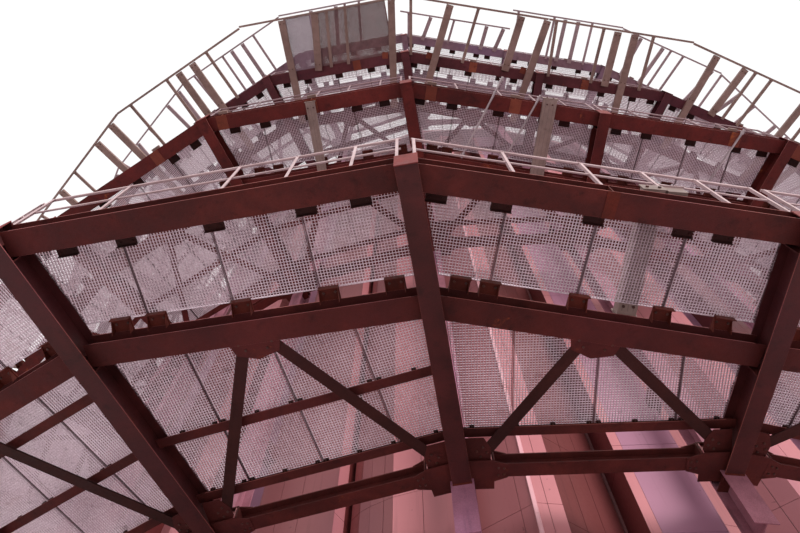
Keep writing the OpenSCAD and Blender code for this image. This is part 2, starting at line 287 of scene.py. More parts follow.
def grating_mat():
    g = Graph("galvanised_bars")
    wide = g.noise(0.8, 3.0, 0.6)
    spangle = g.node("ShaderNodeTexVoronoi")
    g.put(spangle.inputs["Vector"], g.pos)
    spangle.inputs["Scale"].default_value = 55.0
    c = g.ramp(g.mix(0.4, wide, spangle.outputs["Distance"]), [(0.28, lin(172, 150, 160)), (0.5, lin(212, 193, 203)), (0.75, lin(234, 221, 229))])
    stain = g.noise(1.3, 5.0, 0.65, distortion=0.4)
    c = g.mix(g.span(stain, 0.60, 0.74, 0.0, 0.65), c, lin(150, 96, 92))
    c = g.mix(g.span(g.noise(7.0, 4.0, 0.6), 0.62, 0.75, 0.0, 0.5), c, lin(120, 98, 104))
    rough = g.span(spangle.outputs["Distance"], 0.0, 0.9, 0.36, 0.6)
    return g.finish(c, rough, 0.25, g.bump(g.noise(90.0, 3.0, 0.6), 0.2, 0.002))


def paint(name, a, b, c3, rough=(0.35, 0.55), metallic=0.0, grime=(90, 60, 56), grime_at=0.62, scale=2.5):
    g = Graph(name)
    c = g.ramp(g.mix(0.4, g.noise(scale * 0.3, 3.0, 0.6), g.noise(scale * 2.2, 5.0, 0.6)), [(0.3, lin(*a)), (0.52, lin(*b)), (0.75, lin(*c3))])
    drip = g.noise(2.4, 5.0, 0.62, g.scaled(4.0, 4.0, 0.4))
    c = g.mix(g.span(drip, grime_at, grime_at + 0.14, 0.0, 0.6), c, lin(*grime))
    chips = g.noise(30.0, 5.0, 0.7)
    c = g.mix(g.span(chips, 0.66, 0.70, 0.0, 0.8), c, lin(118, 66, 48))
    r = g.span(g.noise(9.0, 4.0, 0.6), 0.35, 0.65, *rough)
    return g.finish(c, r, metallic, g.bump(g.mix(0.3, g.noise(110.0, 2.0, 0.5), chips), 0.2, 0.002))


def cladding_mat(name, a, b, c3, d):
    """Satin metal panels whose colour drifts slowly from one panel to the next: partly panel tint, partly painted
    reflection of the surroundings in the satin finish.
    """
    g = Graph(name)
    # the slow drift between tints and the lighter clouds: partly panel tint, partly painted reflection of the
    # surroundings
    tint_and_reflection_drift = g.noise(0.33, 2.0, 0.5, g.scaled(1.0, 1.0, 0.25), 0.4)
    c = g.ramp(tint_and_reflection_drift, [(0.30, lin(*a)), (0.44, lin(*b)), (0.56, lin(*c3)), (0.70, lin(*d))])
    cloud = g.noise(1.6, 4.0, 0.55, g.scaled(1.0, 1.0, 0.3))
    c = g.mix(g.span(cloud, 0.35, 0.7, 0.0, 0.4), c, lin(*c3))
    streak = g.noise(3.0, 5.0, 0.6, g.scaled(3.5, 3.5, 0.12))
    c = g.mix(g.span(streak, 0.58, 0.75, 0.0, 0.3), c, lin(*[x * 0.62 for x in a]))
    spots = g.noise(11.0, 3.0, 0.5)
    c = g.mix(g.span(spots, 0.73, 0.76, 0.0, 0.5), c, lin(*[x * 0.7 for x in a]))
    rough = g.span(g.mix(0.5, cloud, g.noise(18.0, 4.0, 0.6)), 0.3, 0.7, 0.32, 0.5)
    return g.finish(c, rough, 0.15, g.bump(g.noise(1.1, 2.0, 0.5), 0.06, 0.02), **{"Specular IOR Level": 0.3})


def concrete(name, a, b, c3):
    g = Graph(name)
    c = g.ramp(g.mix(0.5, g.noise(0.7, 4.0, 0.6), g.noise(9.0, 6.0, 0.65)), [(0.3, lin(*a)), (0.5, lin(*b)), (0.72, lin(*c3))])
    damp = g.noise(0.4, 5.0, 0.65, distortion=0.7)
    c = g.mix(g.span(damp, 0.55, 0.68, 0.0, 0.5), c, lin(*[x * 0.62 for x in a]))
    return g.finish(c, g.span(g.noise(14.0, 4.0, 0.6), 0.3, 0.7, 0.72, 0.92), 0.0, g.bump(g.noise(38.0, 6.0, 0.7), 0.4, 0.006))


M_GRATE = grating_mat()
M_RAIL = paint("rail_primer", (156, 130, 132), (184, 158, 160), (206, 184, 186), (0.34, 0.55), 0.1, (130, 88, 80), 0.62)
M_RAIL_UP = paint("rail_weathered", (118, 90, 94), (144, 116, 120), (168, 142, 146), (0.4, 0.6), 0.1, (104, 66, 60), 0.6)
M_BAND = paint("banding_bar", (84, 64, 68), (108, 86, 92), (136, 114, 120), (0.4, 0.6), 0.2, (92, 58, 52), 0.6)
M_OLIVE = paint("olive_paint", (104, 78, 72), (132, 104, 96), (156, 128, 122), (0.42, 0.62), 0.05, (92, 60, 54), 0.6)
M_HAZE = paint("weathered_olive_paint", (128, 104, 108), (150, 126, 130), (172, 148, 154), (0.42, 0.62), 0.05, (112, 84, 86), 0.62)
M_GREY = paint("grey_olive_paint", (118, 98, 92), (146, 124, 118), (168, 148, 142), (0.42, 0.6), 0.05, (92, 62, 52), 0.62)
M_PLATE = paint("plate_primer", (100, 82, 76), (126, 105, 99), (148, 128, 121), (0.42, 0.6), 0.05, (92, 62, 52), 0.62)
M_ROD = paint("rod_zinc", (150, 138, 142), (186, 172, 176), (214, 202, 206), (0.3, 0.5), 0.6, (110, 74, 66), 0.64)
M_BACK = concrete("wall_backing", (34, 15, 16), (48, 23, 24), (62, 32, 33))
M_ROOF = concrete("roof_coating", (112, 100, 104), (140, 128, 132), (166, 154, 158))
M_BOLT = paint("bolt_zinc", (58, 34, 32), (80, 50, 46), (108, 74, 70), (0.4, 0.6), 0.3, (96, 48, 32), 0.5, 12.0)
M_NET = paint("net_zinc", (120, 96, 110), (142, 116, 130), (160, 134, 148), (0.4, 0.6), 0.3, (130, 100, 100), 0.62)
M_NET_B = paint("net_stained", (88, 60, 62), (112, 80, 82), (134, 102, 104), (0.4, 0.6), 0.2, (110, 70, 62), 0.56)

M_CLAD_A = cladding_mat("cladding_pink", (148, 90, 95), (171, 104, 109), (186, 119, 124), (152, 94, 108))
M_CLAD_B = cladding_mat("cladding_lilac", (136, 92, 116), (152, 104, 128), (162, 112, 134), (144, 98, 124))
M_CLAD_C = cladding_mat("cladding_salmon", (126, 72, 76), (146, 87, 91), (158, 98, 102), (134, 79, 88))
# darker copies of the cladding: painted shade on the slot sides, also used on the short runs between bays
# (cladding_shade), and on the run into each slot (slot shade)
M_CLAD_D = cladding_mat("cladding_shade", (76, 30, 30), (92, 37, 38), (106, 46, 46), (84, 34, 38))
M_CLAD_SLOT_SHADE = cladding_mat("cladding_slot_shade", (90, 43, 43), (104, 51, 51), (116, 60, 60), (96, 47, 49))
M_CLAD_R = cladding_mat("cladding_rose", (98, 54, 58), (114, 65, 68), (126, 75, 78), (104, 60, 68))
# pale trim: painted highlight on the corner profiles, and the roof capping's own colour
M_TRIM_AND_HIGHLIGHT = cladding_mat("edge_trim_and_highlight", (196, 140, 150), (216, 160, 168), (226, 174, 180), (206, 152, 164))
M_SPLICE = paint("splice_primer", (176, 108, 112), (200, 130, 132), (216, 150, 148), (0.4, 0.6), 0.05, (120, 62, 56), 0.6)
M_CAP = oxide("end_plate_paint", (84, 34, 34), (116, 50, 48), (140, 70, 66), 0.66)
M_COL = oxide("column_primer", (118, 70, 80), (152, 98, 112), (178, 124, 140), 0.70, (124, 58, 46), (156, 84, 64))

for name, ob in NODES.items():
    if name.startswith("core_wall") or name == "wall_piers":
        m = M_BACK
    elif name == "roof_slab":
        m = M_ROOF
    elif name == "roof_kerb":
        m = M_CLAD_A
    elif "outrigger" in name or "fan_rail" in name:
        m = M_HAZE if name.startswith("t4_") else M_OLIVE
    elif "needle" in name:
        m = M_GREY
    elif name == "tie_rods":
        m = M_ROD
    elif "handrail" in name:
        m = M_RAIL if name.startswith("t1_") else M_RAIL_UP
    elif "deck" in name:
        m = M_GRATE
    elif name in ("columns_lower", "columns_middle", "columns_upper"):
        m = M_COL
    elif name == "t1_radial_beams":
        m = M_RADIAL
    elif name == "t1_plan_braces":
        m = M_BRACE
    elif name.startswith("t1_") or name == "wall_brackets":
        m = M_OXIDE
    elif name.startswith("t4_"):
        m = M_OXIDE_TOP
    elif name.startswith("t3_"):
        m = M_OXIDE_MID
    else:
        m = M_OXIDE_UP
    ob.data.materials.clear()
    ob.data.materials.append(m)


# ---------------------------------------------------------------- bar gratings
PITCH, BAR = 0.036, 0.0053


def clip(poly, p0, d):
    """Spans of the lines p0 + s d inside the convex counter-clockwise polygon poly."""
    lo = np.full(len(p0), -1e9)
    hi = np.full(len(p0), 1e9)
    for i in range(len(poly)):
        a, e = poly[i], poly[(i + 1) % len(poly)] - poly[i]
        n = np.array([-e[1], e[0]])
        num, den = (p0 - a) @ n, d @ n
        s = -num / den if abs(den) > 1e-9 else np.where(num >= 0, -1e9 if den >= 0 else 1e9, 1e9)
        if abs(den) <= 1e-9:
            lo = np.where(num >= 0, lo, 1e9)
        elif den > 0:
            lo = np.maximum(lo, s)
        else:
            hi = np.minimum(hi, s)
    return lo, hi


def clip_poly(poly, n, c):
    """The part of the convex polygon with p @ n >= c."""
    out = []
    for i in range(len(poly)):
        a, b = poly[i], poly[(i + 1) % len(poly)]
        da, db = a @ n - c, b @ n - c
        if da >= 0:
            out.append(a)
        if (da >= 0) != (db >= 0):
            out.append(a + (b - a) * (da / (da - db)))
    return out


def grate_panel(M, poly, u, n, z, t, cross, bar):
    """One grating panel: banding bars round it, bearing bars along n, cross bars along u."""
    poly = [np.asarray(p) for p in poly]
    area = sum(poly[i][0] * poly[(i + 1) % len(poly)][1] - poly[(i + 1) % len(poly)][0] * poly[i][1] for i in range(len(poly))) / 2
    if abs(area) < 0.02:
        return
    if area < 0:
        poly = poly[::-1]
    P = np.array(poly)
    h = bar / 2
    for i in range(len(P)):
        a, b = P[i], P[(i + 1) % len(P)]
        e = b - a
        if np.linalg.norm(e) < 0.02:
            continue
        w = left(unit(e))
        M.box(v3((a + b) / 2 + w * h, z + t / 2), v3(e / 2, 0), v3(w * h, 0), UP * t / 2, 1 if abs(unit(e) @ u) < 0.5 else 0)
    for d, q, top, deep, step in ((n, u, t * 0.8, t * 0.78, PITCH), (u, n, t * 0.5, t * 0.36, cross)):
        qs = P @ q
        c = np.arange(qs.min() + step * 0.5, qs.max(), step)
        p0 = c[:, None] * q[None]
        lo, hi = clip(P, p0, d)
        ok = hi - lo > 0.02
        lo, hi, p0 = lo[ok], hi[ok], p0[ok]
        mid = p0 + ((lo + hi) / 2)[:, None] * d
        m = len(mid)
        cen = np.column_stack([mid, np.full(m, z + top - deep / 2)])
        x = np.column_stack([((hi - lo) / 2)[:, None] * d, np.zeros(m)])
        y = np.array([*(left(d) * h), 0.0])
        M.boxes(cen, x, y, UP * deep / 2)


SEAMS = [-1.04, 0.0, 1.04]


def split(poly, u, c0, seams):
    """Cuts a deck polygon across u at the seams, measured from c0, with a 12 mm gap."""
    edges = [-1e3] + [c0 + s for s in seams] + [1e3]
    for lo, hi in zip(edges[:-1], edges[1:]):
        q = clip_poly(poly, u, lo + 0.006)
        if len(q) > 2:
            q = clip_poly(q, -u, -(hi - 0.006))
        if len(q) > 2:
            yield q


for t in range(4):
    M = Mesh()
    g = RAD_B / 2 + 0.012
    for k in range(BAYS):
        a, b = pol(out_r(k, t), k), pol(out_r(k + 1, t), k + 1)
        c, d = pol(sec_r(k, t), k), pol(sec_r(k + 1, t), k + 1)
        e, f = pol(NODE_R, k), pol(NODE_R, k + 1)
        u = unit(b - a)
        outer = [cut(a, b, 0.06, k, g), cut(a, b, 0.06, k + 1, -g), cut(c, d, -0.15, k + 1, -g), cut(c, d, -0.15, k, g)]
        inner = [cut(c, d, 0.13, k, g), cut(c, d, 0.13, k + 1, -g), cut(e, f, -0.43, k + 1, -g), cut(e, f, -0.43, k, g)]
        for poly, uu, mid in ((outer, u, (a + b) / 2), (inner, unit(f - e), (e + f) / 2)):
            for q in split(poly, uu, mid @ uu, SEAMS):
                grate_panel(M, q, uu, left(uu), Z0[t] + RING_TOP, DECK_T, PITCH if t < 2 else PITCH * 1.9, BAR if t < 2 else BAR * 1.8)
    M.make(f"t{t + 1}_bar_grating", [M_GRATE, M_BAND], "bar_grating", [f"t{t + 1}_deck"])


# ---------------------------------------------------------------- handrails
POSTS = [[-1.06, -0.07, 0.70, 1.40], [-1.21, 0.21, 0.94, 1.67]]
L_POST = [[0, 0], [0.036, 0], [0.036, 0.005], [0.005, 0.005], [0.005, 0.036], [0, 0.036]]
for t in range(4):
    M = Mesh()
    zb = Z0[t] + RING_TOP
    top = DECK_T + RAIL_H
    for k in range(BAYS):
        a, b = pol(out_r(k, t), k), pol(out_r(k + 1, t), k + 1)
        p, q = cut(a, b, 0.032, k, 0.06), cut(a, b, 0.032, k + 1, -0.06)
        l = np.linalg.norm(q - p)
        u = unit(q - p)
        n = left(u)
        U, N = v3(u, 0), v3(n, 0)
        mid = l / 2
        s = [0.012] + [mid + x for x in POSTS[k % 2] if 0.2 < mid + x < l - 0.2] + [l - 0.062]
        for x in s:
            M.prism(L_POST, v3(p + u * x - n * 0.021, zb), U, N, top - 0.03)
            M.box(v3(p + u * (x + 0.025) + n * 0.01, zb + 0.05), U * 0.045, N * 0.004, UP * 0.05)
        for h, w in ((top - RAIL_B / 2, 0.031), (top - RAIL_H / 2 - 0.02, 0.023)):
            r = w / 2
            pts = [[r * 0.6, -r], [r, -r * 0.6], [r, r * 0.6], [r * 0.6, r], [-r * 0.6, r], [-r, r * 0.6], [-r, -r * 0.6], [-r * 0.6, -r]]
            M.prism(pts, v3(p, zb + h), N, UP, l)
        for x in s[1:-1]:
            M.bolt(v3(p + u * (x + 0.02) - n * 0.021, zb + top - 0.06), -N, 0.008, 0.007)
    M.make(f"t{t + 1}_rail_work", [M_RAIL if t == 0 else M_RAIL_UP], "rail_paint", [f"t{t + 1}_handrail"])


# ---------------------------------------------------------------- folded cladding on the wall and piers
# Corners of a face in turn: distance along it, apothem, material to the next corner, height of a
# horizontal joint there, and vertical joints as shares of the run. Three faces in turn.
N0 = CORE_A + 0.03
# Material 5 on the run into each slot and material 3 on its sides are painted shade of the recess.
FACES = [
    [(None, 11.89, 2, 8.60, [0.78]), (-0.737, 12.42, 0, 8.60, [0.45]), (-0.37, 12.372, 5, 10.05, [0.3, 0.62]), (0.52, 11.76, 3, 9.6, []),
     (0.56, 11.66, 3, 9.6, []), (0.60, 11.68, 3, 9.6, []), (0.645, 12.27, 0, 9.9, []), (0.79, 12.27, 1, 9.9, []), (None, 12.27, 0, 9.9, [])],
    [(None, 11.72, 2, 8.95, [0.5]), (-0.86, 11.72, 2, 8.95, [0.68]), (-0.24, 12.40, 0, 8.95, [0.5]), (0.45, 12.40, 3, 9.4, []),
     (0.75, 11.80, 1, 9.7, [0.5]), (None, 11.80, 0, 9.7, [])],
    [(None, 12.27, 6, 10.45, [0.27, 0.55]), (-0.33, 12.27, 0, 9.25, []), (-0.255, 12.06, 3, 9.25, []), (-0.25, 11.80, 3, 9.25, []),
     (-0.155, 11.80, 3, 9.25, []), (-0.15, 12.05, 3, 9.25, []), (0.02, 12.16, 6, 9.25, []), (0.20, 12.22, 6, 9.25, [0.6]),
     (0.562, 12.285, 0, 9.25, [0.42]), (None, 12.295, 0, 9.25, [])]]
CLAD_T, GAP, ROW = 0.018, 0.007, 1.75
ROOF_Z = Z0[3] + RAD_H
SHELLS = [Mesh() for _ in range(4)]
ZCUT = [0.0, 8.4, 16.42, 23.84, ROOF_Z]


def face_point(t, n, k):
    a = DA * (k + 0.5)
    return np.array([math.cos(a), math.sin(a)]) * t + np.array([math.sin(a), -math.cos(a)]) * n


def clad_run(a, b, mat, zj, seams):
    """Panels from plan point a to b, full height, in rows with open joints."""
    l = np.linalg.norm(b - a)
    if l < 0.03:
        return
    u = (b - a) / l
    o = left(u)
    cuts = [0.0] + [l * x for x in seams] + [l]
    rows = [0.0] + [z for z in np.arange(zj - ROW * 6, ROOF_Z, ROW) if 0.3 < z < ROOF_Z - 0.2] + [ROOF_Z]
    for c0, c1 in zip(cuts[:-1], cuts[1:]):
        g0 = GAP / 2 if c0 > 0 else 0.002
        g1 = GAP / 2 if c1 < l else 0.002
        for z0, z1 in zip(rows[:-1], rows[1:]):
            q = (a + u * (c0 + g0) + a + u * (c1 - g1)) / 2
            w = (c1 - c0 - g0 - g1) / 2
            za, zb = z0 + (GAP / 2 if z0 > 0 else 0.0), z1 - GAP / 2
            s = SHELLS[min(3, sum(1 for x in ZCUT[1:-1] if (za + zb) / 2 > x))]
            s.box(v3(q + o * CLAD_T / 2, (za + zb) / 2), v3(u * w, 0), v3(o * CLAD_T / 2, 0), UP * (zb - za) / 2, mat)


prev = None
for k in range(BAYS + 1):
    f = FACES[k % 3]
    pts = []
    for i, (t, n, m, zj, seams) in enumerate(f):
        if t is None:
            t = n * math.tan(DA / 2) * (-1 if i == 0 else 1)
        pts.append((face_point(t, n, k), m, zj, seams))
    if prev is not None and np.linalg.norm(pts[0][0] - prev) > 0.03:
        clad_run(prev, pts[0][0], 3, 9.3, [])
    if k == BAYS:
        break
    for (a, m, zj, seams), (b, *_r) in zip(pts[:-1], pts[1:]):
        clad_run(a, b, m, zj, seams)
    prev = pts[-1][0]
    # edge profile on the standing corners, in a bright paint that is a painted highlight on the rounded folds
    for i in ({0: (1,), 1: (), 2: ()}[k % 3]):
        a = pts[i][0]
        nn = unit(a)
        for z0, z1 in zip(ZCUT[:-1], ZCUT[1:]):
            SHELLS[ZCUT.index(z0)].prism([[-0.03, -0.016], [0.04, -0.010], [0.034, 0.014], [-0.016, 0.014]], v3(a, z0 + 0.002), v3(-left(nn), 0), v3(nn, 0), z1 - z0 - 0.004, 4)
for i, s in enumerate(SHELLS):
    s.make(f"wall_cladding_{i + 1}", [M_CLAD_A, M_CLAD_B, M_CLAD_C, M_CLAD_D, M_TRIM_AND_HIGHLIGHT, M_CLAD_SLOT_SHADE, M_CLAD_R], "wall_panel")


# ---------------------------------------------------------------- steel details of each gallery
def bay_edge(k, t, outer):
    r = out_r if outer else sec_r
    a, b = pol(r(k, t), k), pol(r(k + 1, t), k + 1)
    u = unit(b - a)
    return (a + b) / 2, u, left(u), np.linalg.norm(b - a) / 2, a, b


SEAT_T = [[-1.68, -1.33, -0.27, 0.75, 1.50], [-1.57, -1.13, -0.10, 0.95, 1.73], [-1.57, -1.13, -0.10, 0.95, 1.73]]
CLIP_T = [[-1.83, -1.10, -0.05, 0.98, 1.45], [-1.68, -0.98, 0.05, 1.11, 1.73], [-1.68, -0.98, 0.05, 1.11, 1.73]]
RUST_T = [[[0.01], [0.24, -1.62], [0.04], []], [[-1.1], [0.9], [-0.6], [0.5]], [[], [-1.85, 0.17], [0.7], [-0.8]]]
for t in range(4):
    M = Mesh()
    z = Z0[t]
    near = t < 2
    for k in range(BAYS):
        # seats of the outer decks on the second ring
        m, u, n, hl, a, b = bay_edge(k, t, False)
        U, N = v3(u, 0), v3(n, 0)
        for x in SEAT_T[k % 3]:
            if abs(x) > hl - 0.3:
                continue
            c = m + u * x
            M.box(v3(c - n * 0.09, z + RING_TOP - 0.006), U * 0.12, N * 0.09, UP * 0.006, 7)
            M.box(v3(c - n * 0.176, z + RING_TOP - 0.045), U * 0.12, N * 0.005, UP * 0.039, 7)
            for e in (-0.112, 0.112):
                M.prism([[0, 0], [0, -0.10], [0.165, 0]], v3(c + u * (e - 0.004), z + RING_TOP - 0.012), -N, UP, 0.008, 7)
            if near:
                for e in (-0.07, 0.07):
                    M.bolt(v3(c + u * e - n * 0.10, z + RING_TOP - 0.012), -UP, 0.014, 0.012, 3)
        # clips under the inner edge of the outer ring, in the dark clip paint that is painted shade
        m, u, n, hl, a, b = bay_edge(k, t, True)
        U, N = v3(u, 0), v3(n, 0)
        for x in CLIP_T[k % 3]:
            if abs(x) > hl - 0.25:
                continue
            c = m + u * x + n * RING_B
            M.box(v3(c + n * 0.06, z + RING_TOP - 0.008), U * 0.12, N * 0.10, UP * 0.008, 2)
            M.box(v3(c + n * 0.155, z + RING_TOP - 0.032), U * 0.12, N * 0.005, UP * 0.024, 2)
            if near:
                for e in (-0.075, 0.075):
                    M.bolt(v3(c + u * e + n * 0.11, z + RING_TOP - 0.016), -UP, 0.012, 0.010, 2)
        for x in RUST_T[k % 3][t]:
            c = m + u * x + n * RING_B / 2
            rm = 1 if t else 7
            M.box(v3(c, z + RING_TOP - RING_H - 0.004), U * (0.12 if t else 0.07), N * (RING_B / 2 + 0.004), UP * 0.004, rm)
            for e in (-1, 1):
                M.box(v3(c + n * e * 0.078, z + RING_TOP - RING_H / 2), U * 0.006, N * 0.068, UP * (RING_H / 2 - 0.016), rm)
            if t:
                M.box(v3(m + u * x - n * 0.03, z + RING_TOP + 0.012), U * 0.10, N * 0.03, UP * 0.03, 4)
        # fin plates and bolts at the ends of both rings
        for outer in (True, False):
            m, u, n, hl, a, b = bay_edge(k, t, outer)
            U, N = v3(u, 0), v3(n, 0)
            for s, kk in ((1, k), (-1, k + 1)):
                q = cut(a, b, RING_B / 2, kk, s * (WEB / 2 + 0.001))
                c = q + u * s * 0.10 + n * 0.012
                M.box(v3(c, z + RING_TOP - RING_H / 2), U * 0.10, N * 0.006, UP * 0.095, 0)
                for zz in (-0.06, 0.0, 0.06):
                    M.bolt(v3(c + u * s * 0.035 + n * 0.006, z + RING_TOP - RING_H / 2 + zz), N, 0.014, 0.012, 3)
                    if near:
                        M.bolt(v3(q + u * s * 0.135 - n * 0.006, z + RING_TOP - RING_H / 2 + zz), -N, 0.014, 0.012, 3)
        # saddle clips of the inner deck on the joists, in the same dark clip paint: painted shade
        e, f = pol(NODE_R, k), pol(NODE_R, k + 1)
        uu = unit(f - e)
        nn = left(uu)
        U, N = v3(uu, 0), v3(nn, 0)
        o = (e + f) / 2
        room = min(sec_r(k, t), sec_r(k + 1, t)) * math.cos(DA / 2) - RING_B
        for i in range(3):
            na = 0.46 + 0.97 * i
            if NODE_A + na < room - 0.33:
                for x in ([-1.55, -1.1, -0.98, -0.52, -0.06, 0.06, 0.52, 0.98, 1.1, 1.55] if near else [-1.04, 0.0, 1.04]):
                    if abs(x) < (NODE_A + na) * math.tan(DA / 2) - 0.2:
                        c = o - nn * (na + 0.022) + uu * x
                        M.box(v3(c, z + RING_TOP - 0.018), U * 0.028, N * 0.018, UP * 0.018, 2)
                        M.bolt(v3(c - nn * 0.005, z + RING_TOP - 0.036), -UP, 0.011, 0.010, 3)
        # end gussets of the plan braces, at the second ring
        m, u, n, hl, a, b = bay_edge(k, t, False)
        c = m + n * (RING_B + 0.02)
        M.prism([[-0.34, -0.14], [0.34, -0.14], [0.26, 0.12], [0.0, 0.2], [-0.26, 0.12]], v3(c, z + 0.148), v3(u, 0), v3(n, 0), 0.010, 0)
        for x, y in ((-0.2, -0.02), (-0.13, 0.06), (0.2, -0.02), (0.13, 0.06)):
            M.bolt(v3(c + u * x + n * y, z + 0.148), -UP, 0.014, 0.012, 3)
        # nodes of the inner ring: stub arms, flared ends, end plates and gussets
        for s, kk in ((-1, k), (1, k + 1)):
            S = lambda pts: (pts if s > 0 else [[-x, y] for x, y in pts][::-1])
            P = lambda pts: [[x, -(y - NODE_A)] for x, y in pts]
            org = v3(o, 0)
            for zz in (z + 0.078, z + 0.290):
                M.prism(P(S([[1.29, 13.225], [1.64, 13.225], [1.64, 12.78], [1.29, 12.78]])), org + UP * zz, U, N, 0.012, 0)
                M.prism(P(S([[1.12, 13.157], [1.30, 13.215], [1.30, 12.895], [1.12, 12.957]])), org + UP * (zz - 0.002), U, N, 0.014, 0)
            M.box(org + U * s * 1.465 + N * 0.0 + UP * (z + 0.19), U * 0.175, N * 0.007, UP * 0.10, 0)
            M.box(org + U * s * 1.295 + UP * (z + 0.19), U * 0.010, N * 0.165, UP * 0.105, 0)
            M.box(org + U * s * 1.325 - N * 0.10 + UP * (z + 0.19), U * 0.006, N * 0.06, UP * 0.098, 5)
            M.box(org + U * s * 1.38 - N * 0.115 + UP * (z + 0.19), U * 0.055, N * 0.006, UP * 0.098, 5)
            M.prism(P(S([[1.33, 13.36], [1.42, 13.52], [1.655, 13.52], [1.70, 13.12], [1.33, 13.12]])), org + UP * (z + 0.147), U, N, 0.010, 0)
            for x, y in ((1.38, 13.30), (1.43, 13.38), (1.46, 13.24), (1.51, 13.32)):
                M.bolt(org + U * s * x - N * (y - NODE_A) + UP * (z + 0.147), -UP, 0.014, 0.012, 3)
            if near:
                for x, y in ((1.17, 13.01), (1.17, 13.10), (1.24, 13.00), (1.24, 13.11)):
                    M.bolt(org + U * s * x - N * (y - NODE_A) + UP * (z + 0.076), -UP, 0.013, 0.012, 3)
        # weld bead and stiffeners where the radial beam meets its column
        er, et = pol(1.0, k), np.array([math.cos(DA * k), math.sin(DA * k)])
        M.box(v3(er * 13.058, z - 0.004), v3(et, 0) * 0.124, v3(-er, 0) * 0.010, UP * 0.010, 7)
        for zz in (z + 0.008, z + RING_TOP + 0.008, z + 0.20):
            for s in (-1, 1):
                M.box(v3(er * 12.9 + et * s * 0.078, zz), v3(et, 0) * 0.069, v3(-er, 0) * 0.133, UP * 0.006, 0)
        for outer in (True, False):
            rr = (out_r(k, t) if outer else sec_r(k, t)) - 0.16
            for s in (-1, 1):
                M.box(v3(er * (rr - 0.20) + et * s * 0.062, z + RAD_H / 2), v3(et, 0) * 0.055, v3(-er, 0) * 0.006, UP * (RAD_H / 2 - 0.018), 0)
        M.box(v3(er * (out_r(k, t) + 0.011), z + RAD_H / 2 - 0.01), v3(et, 0) * 0.128, v3(-er, 0) * 0.006, UP * (RAD_H / 2 + 0.012), 6)
        # thin strips along the flange edges, a little proud, in a lighter paint: painted highlight of the lit flange
        # edges
        if t < 3:
            for outer in (True, False):
                m, u, n, hl, a, b = bay_edge(k, t, outer)
                U, N = v3(u, 0), v3(n, 0)
                for y, zz in ((0.0, RING_TOP - RING_H + 0.007), (RING_B, RING_TOP - RING_H + 0.007), (0.0, RING_TOP - 0.007)):
                    M.box(v3(m + n * y, z + zz), U * (hl - 0.21), N * 0.0015, UP * 0.006, 8)
            w = (12.93, out_r(k, t))
            for y in (-RAD_B / 2, RAD_B / 2):
                M.box(v3(er * (w[0] + w[1]) / 2 + et * y, z + 0.008), v3(et, 0) * 0.0015, v3(-er, 0) * ((w[1] - w[0]) / 2), UP * 0.007, 8)
            for i in range(3):
                na = NODE_A + 0.46 + 0.97 * i
                if na < min(sec_r(k, t), sec_r(k + 1, t)) * math.cos(DA / 2) - RING_B - 0.33:
                    ck = DA * (k + 0.5)
                    t2, r2 = np.array([math.cos(ck), math.sin(ck)]), np.array([math.sin(ck), -math.cos(ck)])
                    M.box(v3(r2 * (na + 0.065), z + RING_TOP - 0.115), v3(t2, 0) * (na * math.tan(DA / 2) - 0.16), v3(-r2, 0) * 0.0012, UP * 0.0045, 8)
    base = [M_OXIDE, M_OXIDE_UP, M_OXIDE_MID, M_OXIDE_TOP][t]
    M.make(f"t{t + 1}_steel_fittings", [base, [M_RUST, M_RUST, M_RUST, M_OXIDE_TOP][t], M_SHADED_CLIP, M_BOLT, M_OLIVE, M_SPLICE, M_CAP, [M_SEAT, M_SEAT, M_OXIDE_MID, M_OXIDE_TOP][t], M_LIT], "oxide_steel")

